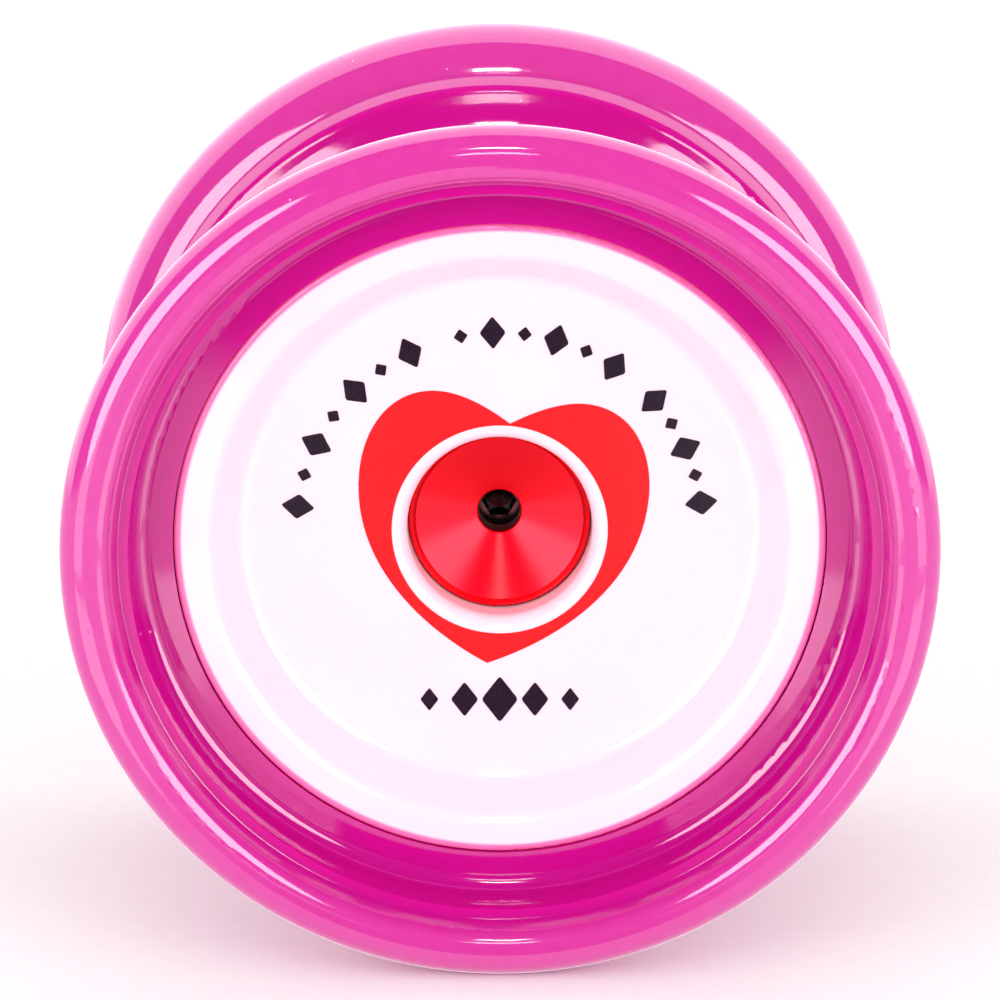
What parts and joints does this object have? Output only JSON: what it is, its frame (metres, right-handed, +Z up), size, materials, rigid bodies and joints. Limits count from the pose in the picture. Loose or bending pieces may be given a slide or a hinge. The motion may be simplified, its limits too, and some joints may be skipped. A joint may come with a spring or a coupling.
{
  "type": "yo-yo",
  "caption": "Flared ball-bearing yo-yo: two glossy cup-shaped halves with hollow faces, snap-in side caps and dished metal hub nuts, screwed together on a set-screw axle.",
  "frame": {"origin": "middle of the ball bearing, halfway between the halves", "axes": "+Y along the axle towards the rear half, +Z up with the axle level, as it stands on both rims"},
  "size_m": [0.056, 0.039, 0.056],
  "materials": {
    "magenta_shell": "glossy translucent moulded plastic",
    "pink_cap": "glossy moulded plastic",
    "red_hub": "satin anodised, turned",
    "seat_metal": "turned",
    "silicone": "matte",
    "black_steel": "black oxide",
    "bearing_steel": "ground",
    "spring_steel": "bright wire",
    "cage_steel": "pressed",
    "ball_steel": "polished"
  },
  "bodies": {
    "front_half": {"front_body": "magenta_shell", "front_cap": "pink_cap", "front_hub": "red_hub", "front_bearing_seat": "seat_metal", "front_response_pad": "silicone", "axle": "black_steel"},
    "bearing_inner": {"bearing_inner_race": "bearing_steel"},
    "rear_half": {"rear_body": "magenta_shell", "rear_cap": "pink_cap", "rear_hub": "red_hub", "rear_bearing_seat": "seat_metal", "rear_response_pad": "silicone"},
    "bearing_outer": {"bearing_outer_race": "bearing_steel", "front_bearing_shield": "bearing_steel", "front_snap_ring": "spring_steel", "rear_bearing_shield": "bearing_steel", "rear_snap_ring": "spring_steel"},
    "bearing_cage": {"bearing_cage": "cage_steel"},
    "ball_1": {"ball_1": "ball_steel"},
    "ball_2": {"ball_2": "ball_steel"},
    "ball_3": {"ball_3": "ball_steel"},
    "ball_4": {"ball_4": "ball_steel"},
    "ball_5": {"ball_5": "ball_steel"},
    "ball_6": {"ball_6": "ball_steel"},
    "ball_7": {"ball_7": "ball_steel"},
    "ball_8": {"ball_8": "ball_steel"}
  },
  "joints": [
    {"name": "bearing_slide", "type": "slide", "parent": "front_half", "child": "bearing_inner", "axis": [0, 1, 0], "range_m": [0, 0.0035]},
    {"name": "rear_half_unscrew", "type": "hinge", "parent": "bearing_inner", "child": "rear_half", "pos_m": [0, 0, 0], "axis": [0, 1, 0], "range_deg": [0, 1800]},
    {"name": "outer_race_spin", "type": "hinge", "parent": "bearing_inner", "child": "bearing_outer", "pos_m": [0, 0, 0], "axis": [0, 1, 0], "continuous": true},
    {"name": "cage_orbit", "type": "hinge", "parent": "bearing_inner", "child": "bearing_cage", "pos_m": [0, 0, 0], "axis": [0, 1, 0], "continuous": true},
    {"name": "ball_1_spin", "type": "hinge", "parent": "bearing_cage", "child": "ball_1", "pos_m": [0.00476, 0, 0], "axis": [0, 1, 0], "continuous": true},
    {"name": "ball_2_spin", "type": "hinge", "parent": "bearing_cage", "child": "ball_2", "pos_m": [0.00337, 0, -0.00337], "axis": [0, 1, 0], "continuous": true},
    {"name": "ball_3_spin", "type": "hinge", "parent": "bearing_cage", "child": "ball_3", "pos_m": [0, 0, -0.00476], "axis": [0, 1, 0], "continuous": true},
    {"name": "ball_4_spin", "type": "hinge", "parent": "bearing_cage", "child": "ball_4", "pos_m": [-0.00337, 0, -0.00337], "axis": [0, 1, 0], "continuous": true},
    {"name": "ball_5_spin", "type": "hinge", "parent": "bearing_cage", "child": "ball_5", "pos_m": [-0.00476, 0, 0], "axis": [0, 1, 0], "continuous": true},
    {"name": "ball_6_spin", "type": "hinge", "parent": "bearing_cage", "child": "ball_6", "pos_m": [-0.00337, 0, 0.00337], "axis": [0, 1, 0], "continuous": true},
    {"name": "ball_7_spin", "type": "hinge", "parent": "bearing_cage", "child": "ball_7", "pos_m": [0, 0, 0.00476], "axis": [0, 1, 0], "continuous": true},
    {"name": "ball_8_spin", "type": "hinge", "parent": "bearing_cage", "child": "ball_8", "pos_m": [0.00337, 0, 0.00337], "axis": [0, 1, 0], "continuous": true}
  ],
  "couplings": [
    {"joint": "bearing_slide", "follows": "rear_half_unscrew", "m_per_rad": 0.0001114},
    {"joint": "cage_orbit", "follows": "outer_race_spin", "ratio": 0.58333},
    {"joint": "ball_1_spin", "follows": "outer_race_spin", "ratio": 2.9167},
    {"joint": "ball_2_spin", "follows": "outer_race_spin", "ratio": 2.9167},
    {"joint": "ball_3_spin", "follows": "outer_race_spin", "ratio": 2.9167},
    {"joint": "ball_4_spin", "follows": "outer_race_spin", "ratio": 2.9167},
    {"joint": "ball_5_spin", "follows": "outer_race_spin", "ratio": 2.9167},
    {"joint": "ball_6_spin", "follows": "outer_race_spin", "ratio": 2.9167},
    {"joint": "ball_7_spin", "follows": "outer_race_spin", "ratio": 2.9167},
    {"joint": "ball_8_spin", "follows": "outer_race_spin", "ratio": 2.9167}
  ]
}
